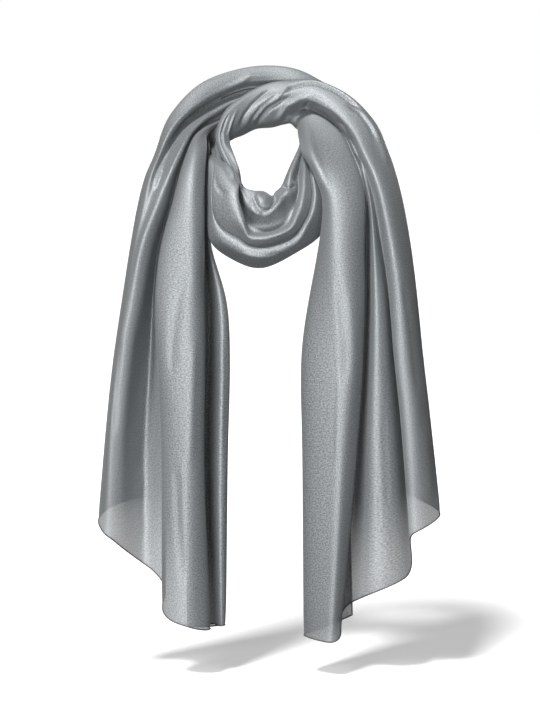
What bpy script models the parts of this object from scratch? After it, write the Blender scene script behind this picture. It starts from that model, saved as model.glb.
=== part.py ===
"""Silk scarf wound once round a neck that isn't there, ends crossed behind and hanging in front.

One long rectangle of satin, built as four stretches of thin wall. Metres, +Z up, -Y to the front.
The origin is the middle of the nape, where the roll behind the neck rests.
"""

import bpy
import numpy as np

# Layout grid: tables count squares, across from the left and down from the top
SQUARE = 0.0013
MIDDLE = 264.0
NAPE = 134.0
MM = 0.001

# Cloth
WALL = 0.001
STEPS_ALONG = 2
LOOP_STEPS = 3
LEFT_POINTS = 2
ROLL_POINTS = 2
RIGHT_POINTS = 3
LOOP_POINTS = 2

# Rungs: name, inner edge across and down, outer edge across and down, depth in mm at back and front

LEFT_RUNGS = (
    ("nape end", 330, 126, 334, 89, 56, 40),
    ("nape side", 300, 122, 300, 71.5, 60, 40),
    ("crown", 266, 122, 266, 67, 60, 40),
    ("crown bend", 241, 121, 238, 70.5, 54, 32),
    ("collar", 216, 130, 197, 86.5, 36, 6),
    ("shoulder", 207, 138, 168, 117, 8, -30),
    ("yoke", 207, 152, 152, 158, -24, -80),
    ("armhole", 205.5, 176, 143.5, 178, -44, -108),
    ("chest", 205, 206, 136, 207, -56, -126),
    ("midriff", 209, 243, 130, 243, -64, -138),
    ("ribs", 228, 300, 121.5, 300, -70, -146),
    ("waist", 231.5, 350, 114, 350, -72, -150),
    ("hip", 229.5, 450, 107, 411, -74, -156),
    ("hem", 227, 629, 96.5, 520, -76, -160),
)

RIGHT_RUNGS = (
    ("rope foot", 241.5, 183, 234, 186, -56, -74),
    ("rope low", 239.5, 171, 228, 170, -54, -74),
    ("rope", 234, 157, 219, 153, -40, -64),
    ("rope bend", 229, 146, 216, 135, -20, -50),
    ("roll foot", 233, 143, 225, 113, 2, -30),
    ("roll left", 243, 139, 240, 100, 16, -14),
    ("roll crown", 257, 132.5, 258, 89, 32, -2),
    ("roll", 272, 131, 272, 84, 38, 2),
    ("roll right", 286, 127, 290, 82, 38, 2),
    ("arch", 296, 131, 314, 81, 36, -4),
    ("collar", 297, 137, 342, 91.5, 24, -18),
    ("shoulder", 298, 145, 375, 121, -2, -48),
    ("yoke", 301, 156, 391, 155, -26, -84),
    ("armhole", 313, 174, 398, 176, -44, -108),
    ("chest", 323, 204, 405, 204, -56, -126),
    ("midriff", 318.5, 243, 412, 243, -64, -138),
    ("ribs", 309, 300, 419, 300, -70, -146),
    ("waist", 301.5, 350, 424, 350, -72, -150),
    ("hip", 302, 450, 431, 408, -74, -156),
    ("hem", 303, 636, 443, 514, -76, -160),
)

LOOP_RUNGS = (
    ("nape join", 330.9, 126, 334.9, 89, 60, 40),
    ("strand far", 329, 132, 350, 118, 56, 40),
    ("strand back", 314, 137, 332, 143, 46, 28),
    ("strand turn", 302, 143, 315, 153, 26, 6),
    ("strand", 297, 154, 309, 161, -2, -26),
    ("right top", 290, 168, 318, 177, -36, -80),
    ("right", 283.5, 184, 324, 202, -54, -111),
    ("right low", 277, 190, 321.2, 237, -68, -130),
    ("bottom right", 270, 194, 292, 256.5, -82, -148),
    ("bottom", 262, 191, 260, 268.5, -88, -154),
    ("bottom left", 252, 191, 236, 261.5, -86, -148),
    ("left low", 245, 188, 212, 243, -82, -134),
    ("left", 241, 181, 207.5, 205, -78, -116),
    ("left top", 227, 168, 208, 174, -68, -98),
    ("left end", 216, 150, 208.5, 150, -54, -72),
)

# A fold's place across the stretch and its reach from back (0) to front (1), at named rungs
LEFT_KEYS = ("crown", "collar", "yoke", "chest", "midriff", "ribs", "waist", "hip", "hem")
LEFT_ACROSS = (
    ("inner selvedge", 0.16, 0.10, 0.24, 0.34, 0.36, 0.38, 0.40, 0.355, 0.31),
    ("inner back", 0.08, 0.03, 0.06, 0.14, 0.14, 0.15, 0.17, 0.16, 0.14),
    ("inner edge", 0.02, -0.06, -0.10, -0.06, 0.00, 0.00, 0.00, 0.00, 0.00),
    ("strip", 0.05, -0.04, -0.04, -0.01, 0.02, 0.07, 0.09, 0.07, 0.05),
    ("inner recess", 0.09, 0.00, 0.01, 0.04, 0.06, 0.15, 0.17, 0.143, 0.10),
    ("inner tuck", 0.13, 0.03, 0.06, 0.10, 0.12, 0.24, 0.25, 0.233, 0.17),
    ("main right", 0.145, 0.02, 0.01, 0.00, 0.05, 0.214, 0.217, 0.20, 0.115),
    ("main right side", 0.18, 0.04, 0.07, 0.05, 0.10, 0.255, 0.26, 0.245, 0.18),
    ("main crest", 0.22, 0.08, 0.23, 0.22, 0.24, 0.40, 0.41, 0.392, 0.34),
    ("main left side", 0.26, 0.12, 0.33, 0.41, 0.50, 0.61, 0.57, 0.494, 0.46),
    ("main left", 0.30, 0.155, 0.385, 0.485, 0.615, 0.695, 0.642, 0.567, 0.51),
    ("outer tuck", 0.315, 0.15, 0.36, 0.46, 0.58, 0.65, 0.60, 0.52, 0.46),
    ("panel", 0.335, 0.165, 0.385, 0.48, 0.61, 0.68, 0.63, 0.588, 0.545),
    ("valley", 0.38, 0.20, 0.43, 0.53, 0.665, 0.735, 0.71, 0.70, 0.64),
    ("second flank", 0.44, 0.24, 0.465, 0.575, 0.71, 0.775, 0.81, 0.85, 0.80),
    ("second ridge", 0.54, 0.30, 0.52, 0.69, 0.848, 0.905, 0.925, 0.935, 0.90),
    ("crease", 0.66, 0.50, 0.78, 0.81, 0.91, 0.94, 0.95, 0.955, 0.935),
    ("first ridge", 0.80, 0.68, 0.88, 0.90, 0.95, 0.967, 0.975, 0.98, 0.965),
    ("outer edge", 1.00, 1.00, 1.00, 1.00, 1.00, 1.00, 1.00, 1.00, 1.00),
    ("outer back", 0.88, 0.85, 0.82, 0.80, 0.82, 0.84, 0.86, 0.86, 0.86),
    ("outer selvedge", 0.60, 0.50, 0.52, 0.52, 0.56, 0.60, 0.62, 0.63, 0.60),
)
LEFT_REACH_KEYS = ("crown", "collar", "yoke", "chest", "waist", "hem")
LEFT_REACH = (
    ("inner selvedge", 0.05, 0.05, 0.06, 0.06, 0.06, 0.10),
    ("inner back", 0.00, 0.00, 0.00, 0.00, 0.02, 0.05),
    ("inner edge", 0.15, 0.15, 0.15, 0.12, 0.30, 0.36),
    ("strip", 0.30, 0.32, 0.32, 0.28, 0.44, 0.50),
    ("inner recess", 0.26, 0.20, 0.24, 0.18, 0.16, 0.34),
    ("inner tuck", 0.30, 0.26, 0.34, 0.28, 0.34, 0.48),
    ("main right", 0.45, 0.50, 0.60, 0.55, 0.72, 0.72),
    ("main right side", 0.60, 0.74, 0.85, 0.88, 0.92, 0.90),
    ("main crest", 0.68, 0.84, 1.00, 1.00, 1.00, 1.00),
    ("main left side", 0.62, 0.74, 0.92, 0.92, 0.92, 0.90),
    ("main left", 0.48, 0.52, 0.70, 0.72, 0.70, 0.70),
    ("outer tuck", 0.28, 0.26, 0.34, 0.36, 0.38, 0.44),
    ("panel", 0.12, 0.10, 0.14, 0.16, 0.26, 0.40),
    ("valley", 0.16, 0.08, 0.12, 0.13, 0.12, 0.24),
    ("second flank", 0.42, 0.46, 0.60, 0.60, 0.46, 0.46),
    ("second ridge", 0.80, 0.88, 0.88, 0.84, 0.70, 0.62),
    ("crease", 0.16, 0.24, 0.44, 0.62, 0.68, 0.61),
    ("first ridge", 0.95, 0.95, 0.80, 0.62, 0.60, 0.54),
    ("outer edge", 0.50, 0.50, 0.36, 0.30, 0.30, 0.32),
    ("outer back", 0.08, 0.10, 0.08, 0.06, 0.04, 0.06),
    ("outer selvedge", 0.00, 0.00, 0.02, 0.02, 0.00, 0.02),
)

# How far down the cut end lies on each fold
LEFT_HEMS = (
    ("inner selvedge", 633.5),
    ("inner back", 634.5),
    ("inner edge", 628.5),
    ("strip", 629.5),
    ("inner recess", 629.5),
    ("inner tuck", 629.5),
    ("main right", 629.5),
    ("main right side", 629.5),
    ("main crest", 624.5),
    ("main left side", 618.0),
    ("main left", 607.0),
    ("outer tuck", 592.0),
    ("panel", 577.0),
    ("valley", 560.0),
    ("second flank", 551.0),
    ("second ridge", 539.5),
    ("crease", 535.0),
    ("first ridge", 530.5),
    ("outer edge", 520.5),
    ("outer back", 508.0),
    ("outer selvedge", 500.5),
)

RIGHT_KEYS = (
    "roll right", "arch", "collar", "yoke", "chest", "midriff", "ribs", "waist", "hip", "hem",
)
RIGHT_ACROSS = (
    ("inner selvedge", 0.72, 0.70, 0.46, 0.42, 0.40, 0.38, 0.36, 0.36, 0.36, 0.36),
    ("inner back", 0.52, 0.40, 0.28, 0.26, 0.18, 0.14, 0.08, 0.10, 0.11, 0.12),
    ("inner edge", 0.30, 0.12, 0.04, 0.02, 0.00, 0.00, 0.00, 0.00, 0.00, 0.00),
    ("main ridge", 0.10, 0.00, 0.10, 0.11, 0.10, 0.134, 0.218, 0.27, 0.24, 0.16),
    ("main middle", 0.00, 0.12, 0.28, 0.34, 0.34, 0.337, 0.39, 0.42, 0.335, 0.22),
    ("main right", 0.04, 0.30, 0.44, 0.56, 0.52, 0.487, 0.509, 0.505, 0.43, 0.272),
    ("inner tuck", 0.10, 0.37, 0.46, 0.56, 0.515, 0.485, 0.502, 0.495, 0.425, 0.275),
    ("groove", 0.15, 0.41, 0.49, 0.585, 0.545, 0.53, 0.545, 0.54, 0.468, 0.335),
    ("middle ridge", 0.20, 0.44, 0.515, 0.61, 0.58, 0.585, 0.60, 0.60, 0.605, 0.57),
    ("middle right", 0.26, 0.46, 0.535, 0.63, 0.61, 0.635, 0.702, 0.712, 0.718, 0.725),
    ("outer tuck", 0.31, 0.475, 0.55, 0.645, 0.635, 0.67, 0.742, 0.775, 0.790, 0.795),
    ("outer left", 0.36, 0.49, 0.565, 0.66, 0.655, 0.685, 0.738, 0.757, 0.772, 0.768),
    ("outer ridge", 0.47, 0.58, 0.63, 0.70, 0.71, 0.76, 0.81, 0.815, 0.83, 0.81),
    ("outer middle", 0.74, 0.80, 0.80, 0.82, 0.84, 0.86, 0.90, 0.905, 0.907, 0.90),
    ("outer edge", 1.00, 1.00, 1.00, 1.00, 1.00, 1.00, 1.00, 1.00, 1.00, 1.00),
    ("outer back", 0.96, 0.92, 0.88, 0.84, 0.84, 0.85, 0.86, 0.87, 0.87, 0.86),
    ("outer selvedge", 0.86, 0.82, 0.66, 0.62, 0.62, 0.63, 0.64, 0.64, 0.66, 0.765),
)
RIGHT_REACH_KEYS = ("roll right", "arch", "collar", "yoke", "chest", "waist", "hem")
RIGHT_REACH = (
    ("inner selvedge", 0.04, 0.04, 0.08, 0.04, 0.04, 0.03, 0.10),
    ("inner back", 0.00, 0.02, 0.10, 0.08, 0.08, 0.03, 0.08),
    ("inner edge", 0.04, 0.12, 0.34, 0.50, 0.49, 0.58, 0.60),
    ("main ridge", 0.14, 0.36, 0.60, 0.84, 0.88, 0.94, 0.94),
    ("main middle", 0.38, 0.50, 0.58, 0.78, 0.86, 0.97, 0.97),
    ("main right", 0.62, 0.46, 0.46, 0.58, 0.62, 0.72, 0.76),
    ("inner tuck", 0.72, 0.34, 0.28, 0.28, 0.26, 0.30, 0.34),
    ("groove", 0.79, 0.26, 0.14, 0.12, 0.10, 0.08, 0.16),
    ("middle ridge", 0.85, 0.38, 0.28, 0.30, 0.38, 0.64, 0.68),
    ("middle right", 0.90, 0.47, 0.38, 0.34, 0.32, 0.44, 0.52),
    ("outer tuck", 0.93, 0.56, 0.46, 0.40, 0.34, 0.10, 0.12),
    ("outer left", 0.96, 0.67, 0.62, 0.60, 0.58, 0.52, 0.62),
    ("outer ridge", 1.00, 0.96, 0.96, 0.96, 0.90, 0.80, 0.76),
    ("outer middle", 0.96, 0.94, 0.90, 0.86, 0.80, 0.74, 0.70),
    ("outer edge", 0.56, 0.58, 0.52, 0.42, 0.34, 0.28, 0.32),
    ("outer back", 0.26, 0.18, 0.12, 0.08, 0.06, 0.04, 0.08),
    ("outer selvedge", 0.10, 0.08, 0.06, 0.02, 0.02, 0.00, 0.02),
)

# How far down the cut end lies on each fold
RIGHT_HEMS = (
    ("inner selvedge", 622.0),
    ("inner back", 637.0),
    ("inner edge", 637.0),
    ("main ridge", 640.5),
    ("main middle", 640.5),
    ("main right", 637.0),
    ("inner tuck", 619.0),
    ("groove", 611.0),
    ("middle ridge", 594.0),
    ("middle right", 582.0),
    ("outer tuck", 571.0),
    ("outer left", 535.5),
    ("outer ridge", 531.0),
    ("outer middle", 525.0),
    ("outer edge", 515.0),
    ("outer back", 505.0),
    ("outer selvedge", 499.0),
)

LOOP_KEYS = ("strand", "right", "bottom", "bottom left", "left", "left end")
LOOP_ACROSS = (
    ("rim selvedge", 0.20, 0.14, 0.24, 0.22, 0.16, 0.22),
    ("rim", 0.00, 0.00, 0.00, 0.00, 0.00, 0.00),
    ("bowl ridge", 0.12, 0.16, 0.31, 0.24, 0.07, 0.12),
    ("bowl", 0.22, 0.27, 0.47, 0.34, 0.11, 0.22),
    ("lip corner", 0.30, 0.31, 0.545, 0.40, 0.14, 0.30),
    ("lip", 0.38, 0.35, 0.57, 0.43, 0.18, 0.38),
    ("roll crest", 0.52, 0.50, 0.62, 0.57, 0.52, 0.52),
    ("roll groove", 0.64, 0.68, 0.71, 0.69, 0.89, 0.64),
    ("band top", 0.74, 0.73, 0.745, 0.725, 0.925, 0.74),
    ("band belly", 0.84, 0.76, 0.84, 0.84, 0.96, 0.86),
    ("band bottom", 1.00, 1.00, 1.00, 1.00, 1.00, 1.00),
    ("band back", 0.84, 0.86, 0.88, 0.88, 0.88, 0.84),
    ("back", 0.62, 0.60, 0.64, 0.64, 0.62, 0.62),
    ("band selvedge", 0.46, 0.38, 0.44, 0.44, 0.38, 0.46),
)
LOOP_REACH = (
    ("rim selvedge", 0.12, 0.12, 0.02, 0.04, 0.10, 0.12),
    ("rim", 0.40, 0.36, 0.12, 0.16, 0.28, 0.40),
    ("bowl ridge", 0.64, 0.62, 0.44, 0.42, 0.40, 0.62),
    ("bowl", 0.72, 0.40, 0.28, 0.28, 0.36, 0.70),
    ("lip corner", 0.78, 0.38, 0.38, 0.36, 0.38, 0.78),
    ("lip", 0.84, 0.66, 0.78, 0.78, 0.76, 0.84),
    ("roll crest", 0.92, 0.86, 0.94, 0.96, 1.00, 0.92),
    ("roll groove", 0.88, 0.66, 0.72, 0.70, 0.66, 0.88),
    ("band top", 0.84, 0.78, 0.84, 0.80, 0.58, 0.84),
    ("band belly", 0.72, 0.76, 1.00, 0.96, 0.48, 0.74),
    ("band bottom", 0.40, 0.16, 0.66, 0.62, 0.34, 0.46),
    ("band back", 0.16, 0.08, 0.28, 0.26, 0.16, 0.18),
    ("back", 0.06, 0.03, 0.14, 0.14, 0.06, 0.07),
    ("band selvedge", 0.02, 0.00, 0.06, 0.08, 0.03, 0.03),
)

# Rungs where one stretch stops and the next starts
ROLL_END = "roll right"
TWIST = 75.0
SEAM = 0.0009

SILK = (0.47, 0.49, 0.51, 1.0)


def glide(knots, values, at, level=True):
    """Values at new places on smooth curves through the knots. Level curves never overshoot them."""
    knots = np.asarray(knots, float)
    values = np.asarray(values, float)
    width = np.diff(knots)
    rise = np.diff(values, axis=0) / width[:, None]
    slope = np.zeros_like(values)
    if level:
        w0 = (2 * width[1:] + width[:-1])[:, None]
        w1 = (width[1:] + 2 * width[:-1])[:, None]
        same = rise[:-1] * rise[1:] > 0
        before = np.where(same, rise[:-1], 1.0)
        after = np.where(same, rise[1:], 1.0)
        slope[1:-1] = np.where(same, (w0 + w1) / (w0 / before + w1 / after), 0.0)
    else:
        share = (width[1:] / (width[1:] + width[:-1]))[:, None]
        slope[1:-1] = rise[:-1] * share + rise[1:] * (1 - share)
    slope[0] = rise[0]
    slope[-1] = rise[-1]
    at = np.clip(at, knots[0], knots[-1])
    cell = np.clip(np.searchsorted(knots, at, side="right") - 1, 0, len(knots) - 2)
    t = ((at - knots[cell]) / width[cell])[:, None]
    h = width[cell][:, None]
    value = values[cell] * (1 + 2 * t) * (1 - t) ** 2
    value += slope[cell] * h * t * (1 - t) ** 2
    value += values[cell + 1] * t ** 2 * (3 - 2 * t)
    value += slope[cell + 1] * h * t ** 2 * (t - 1)
    return value


def rung_numbers(rungs):
    """Rung rows as an array, with the distance of each along the stretch."""
    rows = np.array([rung[1:] for rung in rungs], float)
    centre = np.column_stack((
        (rows[:, 0] + rows[:, 2]) / 2 * SQUARE,
        (rows[:, 4] + rows[:, 5]) / 2 * MM,
        (rows[:, 1] + rows[:, 3]) / 2 * SQUARE,
    ))
    reach = np.linalg.norm(np.diff(centre, axis=0), axis=1)
    return rows, np.concatenate(([0.0], np.cumsum(reach)))


def stations(distance, first, last, count=STEPS_ALONG):
    """Places along the stretch between two rungs, a few in each gap."""
    places = [distance[first]]
    for index in range(first, last):
        gap = distance[index + 1] - distance[index]
        steps = count + int(gap > 0.10)
        for step in range(1, steps + 1):
            places.append(distance[index] + gap * step / steps)
    return np.array(places)


def fold_table(table, keys, rungs, distance, at):
    """A value for each station and fold, from its values at the named rungs."""
    names = [rung[0] for rung in rungs]
    knots = [distance[names.index(key)] for key in keys]
    values = np.array([row[1:] for row in table], float).T
    return glide(knots, values, at)


def place(rows, distance, at, across, reach):
    """Fold points in metres from places across and reaches forward."""
    rung = glide(distance, rows, at, level=False)
    inner_x, inner_down, outer_x, outer_down, back, front = (rung[:, i][:, None] for i in range(6))
    x = inner_x + (outer_x - inner_x) * across
    down = inner_down + (outer_down - inner_down) * across
    y = back + (front - back) * reach
    return np.stack(((x - MIDDLE) * SQUARE, y * MM, (NAPE - down) * SQUARE), axis=2)


def hang_to_hem(points, rows, distance, rungs, at, across, hems):
    """Slides the lower part of each fold so that it ends at its own place on the cut end."""
    names = [rung[0] for rung in rungs]
    start = distance[names.index("waist")]
    share = np.clip((at - start) / (distance[-1] - start), 0.0, 1.0)[:, None]
    level = rows[-1, 1] + (rows[-1, 3] - rows[-1, 1]) * across[-1]
    points[:, :, 2] -= share * (hems - level)[None, :] * SQUARE
    return points


def twisted(across, reach, at, distance, rungs):
    """Turns the section of the roll about its middle, more the further it is from the roll's end."""
    names = [rung[0] for rung in rungs]
    end = distance[names.index(ROLL_END)]
    angle = np.radians(TWIST) * np.clip(1 - at / end, 0.0, 1.0)[:, None]
    side = across - 0.5
    front = reach - 0.5
    turned = side * np.cos(angle) - front * np.sin(angle)
    front = side * np.sin(angle) + front * np.cos(angle)
    return 0.5 + turned, 0.5 + front


def left_points(at):
    rows, distance = rung_numbers(LEFT_RUNGS)
    across = fold_table(LEFT_ACROSS, LEFT_KEYS, LEFT_RUNGS, distance, at)
    reach = fold_table(LEFT_REACH, LEFT_REACH_KEYS, LEFT_RUNGS, distance, at)
    points = place(rows, distance, at, across, reach)
    hems = np.array([row[1] for row in LEFT_HEMS])
    return hang_to_hem(points, rows, distance, LEFT_RUNGS, at, across, hems)


def right_points(at):
    rows, distance = rung_numbers(RIGHT_RUNGS)
    across = fold_table(RIGHT_ACROSS, RIGHT_KEYS, RIGHT_RUNGS, distance, at)
    reach = fold_table(RIGHT_REACH, RIGHT_REACH_KEYS, RIGHT_RUNGS, distance, at)
    across, reach = twisted(across, reach, at, distance, RIGHT_RUNGS)
    points = place(rows, distance, at, across, reach)
    hems = np.array([row[1] for row in RIGHT_HEMS])
    return hang_to_hem(points, rows, distance, RIGHT_RUNGS, at, across, hems)


def loop_points(at):
    rows, distance = rung_numbers(LOOP_RUNGS)
    across = fold_table(LOOP_ACROSS, LOOP_KEYS, LOOP_RUNGS, distance, at)
    reach = fold_table(LOOP_REACH, LOOP_KEYS, LOOP_RUNGS, distance, at)
    return place(rows, distance, at, across, reach)


def round_across(points, per_fold):
    """More points across each section, on rounded curves through its folds that never loop."""
    count = points.shape[1]
    before = np.concatenate((points[:, :1], points[:, :-1]), axis=1)
    after = np.concatenate((points[:, 1:], points[:, -1:]), axis=1)
    chord = after - before
    size = np.linalg.norm(chord, axis=2, keepdims=True)
    heading = chord / size
    columns = []
    for fold in range(count - 1):
        length = np.linalg.norm(points[:, fold + 1] - points[:, fold], axis=1, keepdims=True)
        leave = heading[:, fold] * np.minimum(length, size[:, fold] / 2)
        arrive = heading[:, fold + 1] * np.minimum(length, size[:, fold + 1] / 2)
        for step in range(per_fold):
            t = step / per_fold
            value = points[:, fold] * (1 + 2 * t) * (1 - t) ** 2
            value = value + leave * t * (1 - t) ** 2
            value = value + points[:, fold + 1] * t ** 2 * (3 - 2 * t)
            value = value + arrive * t ** 2 * (t - 1)
            columns.append(value)
    columns.append(points[:, -1])
    return np.stack(columns, axis=1)


def sheet_normals(grid):
    """Unit normals, each an even mean of the patches that meet there."""
    rising = grid[1:, 1:] - grid[:-1, :-1]
    falling = grid[:-1, 1:] - grid[1:, :-1]
    patch = np.cross(rising, falling)
    patch /= np.linalg.norm(patch, axis=2, keepdims=True)
    normal = np.zeros_like(grid)
    normal[:-1, :-1] += patch
    normal[1:, :-1] += patch
    normal[:-1, 1:] += patch
    normal[1:, 1:] += patch
    return normal / np.linalg.norm(normal, axis=2, keepdims=True)


def add_cloth(name, points, per_fold, collection):
    """A closed wall of cloth, half its thickness to each side of the grid."""
    grid = round_across(points, per_fold)
    lift = sheet_normals(grid) * WALL / 2
    rows, columns = grid.shape[:2]
    verts = np.concatenate(((grid + lift).reshape(-1, 3), (grid - lift).reshape(-1, 3)))
    under = rows * columns
    faces = []
    for i in range(rows - 1):
        for j in range(columns - 1):
            a = i * columns + j
            b = a + columns
            faces.append((a, b, b + 1, a + 1))
            faces.append((under + a, under + a + 1, under + b + 1, under + b))
    for i in range(rows - 1):
        a = i * columns
        b = a + columns
        faces.append((a, under + a, under + b, b))
        a += columns - 1
        b += columns - 1
        faces.append((a, b, under + b, under + a))
    for j in range(columns - 1):
        a = j
        faces.append((a, a + 1, under + a + 1, under + a))
        a = (rows - 1) * columns + j
        faces.append((a, under + a, under + a + 1, a + 1))
    mesh = bpy.data.meshes.new(name)
    mesh.from_pydata(verts.tolist(), [], faces)
    for polygon in mesh.polygons:
        polygon.use_smooth = True
    mesh.materials.append(silk_material("silk " + name.replace("_", " ")))
    thing = bpy.data.objects.new(name, mesh)
    collection.objects.link(thing)
    return thing


def silk_material(name):
    material = bpy.data.materials.new(name)
    material.use_nodes = True
    shader = material.node_tree.nodes["Principled BSDF"]
    shader.inputs["Base Color"].default_value = SILK
    shader.inputs["Roughness"].default_value = 0.42
    material.diffuse_color = SILK
    return material


def clear_scene():
    for thing in list(bpy.data.objects):
        bpy.data.objects.remove(thing)


def build():
    clear_scene()
    collection = bpy.data.collections.new("silk_scarf")
    bpy.context.scene.collection.children.link(collection)

    distance = rung_numbers(LEFT_RUNGS)[1]
    at = stations(distance, 0, len(LEFT_RUNGS) - 1)
    add_cloth("left_tail", left_points(at), LEFT_POINTS, collection)

    distance = rung_numbers(RIGHT_RUNGS)[1]
    split = [rung[0] for rung in RIGHT_RUNGS].index(ROLL_END)
    at = stations(distance, 0, split)
    at[-1] -= SEAM
    add_cloth("neck_roll", right_points(at), ROLL_POINTS, collection)
    at = stations(distance, split, len(RIGHT_RUNGS) - 1)
    add_cloth("right_tail", right_points(at), RIGHT_POINTS, collection)

    distance = rung_numbers(LOOP_RUNGS)[1]
    at = stations(distance, 0, len(LOOP_RUNGS) - 1, LOOP_STEPS)
    add_cloth("front_loop", loop_points(at), LOOP_POINTS, collection)


build()
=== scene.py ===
"""Looks of the silk scarf: satin cloth on the forms of its solids, rolled hems, stitches, studio and camera.

Metres, +Z up, -Y to the front. The tables have the stretches and folds of the solids, with their places
fitted more closely to the photograph. The loop also runs on behind the rope beside the neck hole.
"""

import bpy
import numpy as np
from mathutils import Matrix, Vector

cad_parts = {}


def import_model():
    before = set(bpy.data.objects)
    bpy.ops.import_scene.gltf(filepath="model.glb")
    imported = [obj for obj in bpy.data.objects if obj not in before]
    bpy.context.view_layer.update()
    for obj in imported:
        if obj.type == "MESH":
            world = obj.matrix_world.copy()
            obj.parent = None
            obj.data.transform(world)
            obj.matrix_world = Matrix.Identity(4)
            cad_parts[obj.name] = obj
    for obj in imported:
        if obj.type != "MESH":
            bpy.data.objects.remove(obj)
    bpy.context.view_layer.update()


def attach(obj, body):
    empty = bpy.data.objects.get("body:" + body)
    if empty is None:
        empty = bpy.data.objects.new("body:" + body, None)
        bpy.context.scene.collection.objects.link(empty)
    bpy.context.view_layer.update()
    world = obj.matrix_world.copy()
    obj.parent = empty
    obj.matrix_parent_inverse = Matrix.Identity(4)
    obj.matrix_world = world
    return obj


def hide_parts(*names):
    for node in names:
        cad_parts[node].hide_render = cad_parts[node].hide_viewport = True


# Layout grid: tables count squares, across from the left and down from the top
SQUARE = 0.0013
MIDDLE = 264.0
NAPE = 134.0
MM = 0.001

# Cloth
STEP_NECK = 0.0021
STEP_TAIL = 0.0062
STEP_ACROSS = 0.0020
RELAX_PASSES = 44
NECK_SHARE = 0.15
HEM_RADIUS = 0.0009
HEM_SIDES = 6
STITCH_STEP = 0.0026
STITCH_LENGTH = 0.0013
STITCH_WIDTH = 0.0003
STITCH_INSET = 0.0020

# Camera
CAMERA_AWAY = 4.5
CAMERA_RISE = 5.0
PICTURE_SQUARES = 720
PICTURE_MIDDLE = (270.0, 360.0)
PICTURE_DEPTH = -0.12
SENSOR = 36.0
FLOOR_SQUARE = 669.0

# Rungs: name, inner edge across and down, outer edge across and down, depth in mm at back and front

LEFT_RUNGS = (
    ("nape end", 330, 126, 334, 89, 56, 40),
    ("nape side", 300, 122, 300, 71.5, 60, 40),
    ("crown", 266, 122, 266, 67, 60, 40),
    ("crown bend", 241, 121, 238, 70.5, 54, 32),
    ("collar", 216, 130, 197, 86.5, 36, 6),
    ("shoulder", 207, 138, 168, 117, 8, -30),
    ("yoke", 207, 152, 152, 158, -24, -80),
    ("armhole", 205.5, 176, 143.5, 178, -44, -108),
    ("chest", 205, 206, 136, 207, -56, -126),
    ("midriff", 209, 243, 130, 243, -64, -138),
    ("ribs", 228, 300, 121.5, 300, -70, -146),
    ("waist", 231.5, 350, 114, 350, -72, -150),
    ("hip", 229.5, 450, 107, 411, -74, -156),
    ("hem", 227, 629, 96.5, 520, -76, -160),
)

RIGHT_RUNGS = (
    ("rope foot", 241.5, 183, 234, 186, -56, -74),
    ("rope low", 239.5, 171, 228, 170, -54, -74),
    ("rope", 234, 157, 219, 153, -40, -64),
    ("rope bend", 229, 146, 216, 135, -20, -50),
    ("roll foot", 233, 143, 225, 113, 2, -30),
    ("roll left", 243, 139, 240, 100, 16, -14),
    ("roll crown", 257, 132.5, 258, 89, 32, -2),
    ("roll", 272, 131, 272, 84, 38, 2),
    ("roll right", 286, 127, 290, 82, 38, 2),
    ("arch", 296, 131, 314, 81, 36, -4),
    ("collar", 297, 137, 342, 91.5, 24, -18),
    ("shoulder", 298, 145, 375, 121, -2, -48),
    ("yoke", 301, 156, 391, 155, -26, -84),
    ("armhole", 313, 174, 398, 176, -44, -108),
    ("chest", 323, 204, 405, 204, -56, -126),
    ("midriff", 318.5, 243, 412, 243, -64, -138),
    ("ribs", 309, 300, 419, 300, -70, -146),
    ("waist", 301.5, 350, 424, 350, -72, -150),
    ("hip", 302, 450, 431, 408, -74, -156),
    ("hem", 303, 636, 443, 514, -76, -160),
)

LOOP_RUNGS = (
    ("nape join", 330.9, 126, 334.9, 89, 60, 40),
    ("strand far", 329, 132, 350, 118, 56, 40),
    ("strand back", 314, 137, 334, 143, 44, 26),
    ("strand turn", 303, 143, 319, 153, 22, 4),
    ("strand", 297, 154, 316, 163, -8, -40),
    ("right top", 287, 174, 325, 179, -36, -86),
    ("right", 281, 187.5, 329, 206, -52, -112),
    ("right low", 275, 193, 323, 235, -64, -130),
    ("bottom right", 272, 196.5, 298, 252.5, -78, -146),
    ("bottom", 262, 191, 261, 268.5, -84, -154),
    ("corner", 254, 191, 247, 266.5, -84, -152),
    ("bottom left", 250, 190.5, 235, 261.5, -82, -146),
    ("left low", 244.5, 188, 210.5, 243.5, -76, -132),
    ("left", 241, 182, 207.5, 204, -72, -116),
    ("left top", 237, 173, 207.5, 168, -52, -90),
    ("left end", 230, 157, 206, 153, 4, -16),
    ("left far", 225, 146, 203, 142, 26, 12),
    ("left high", 222, 134, 205, 126, 30, 20),
)

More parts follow.
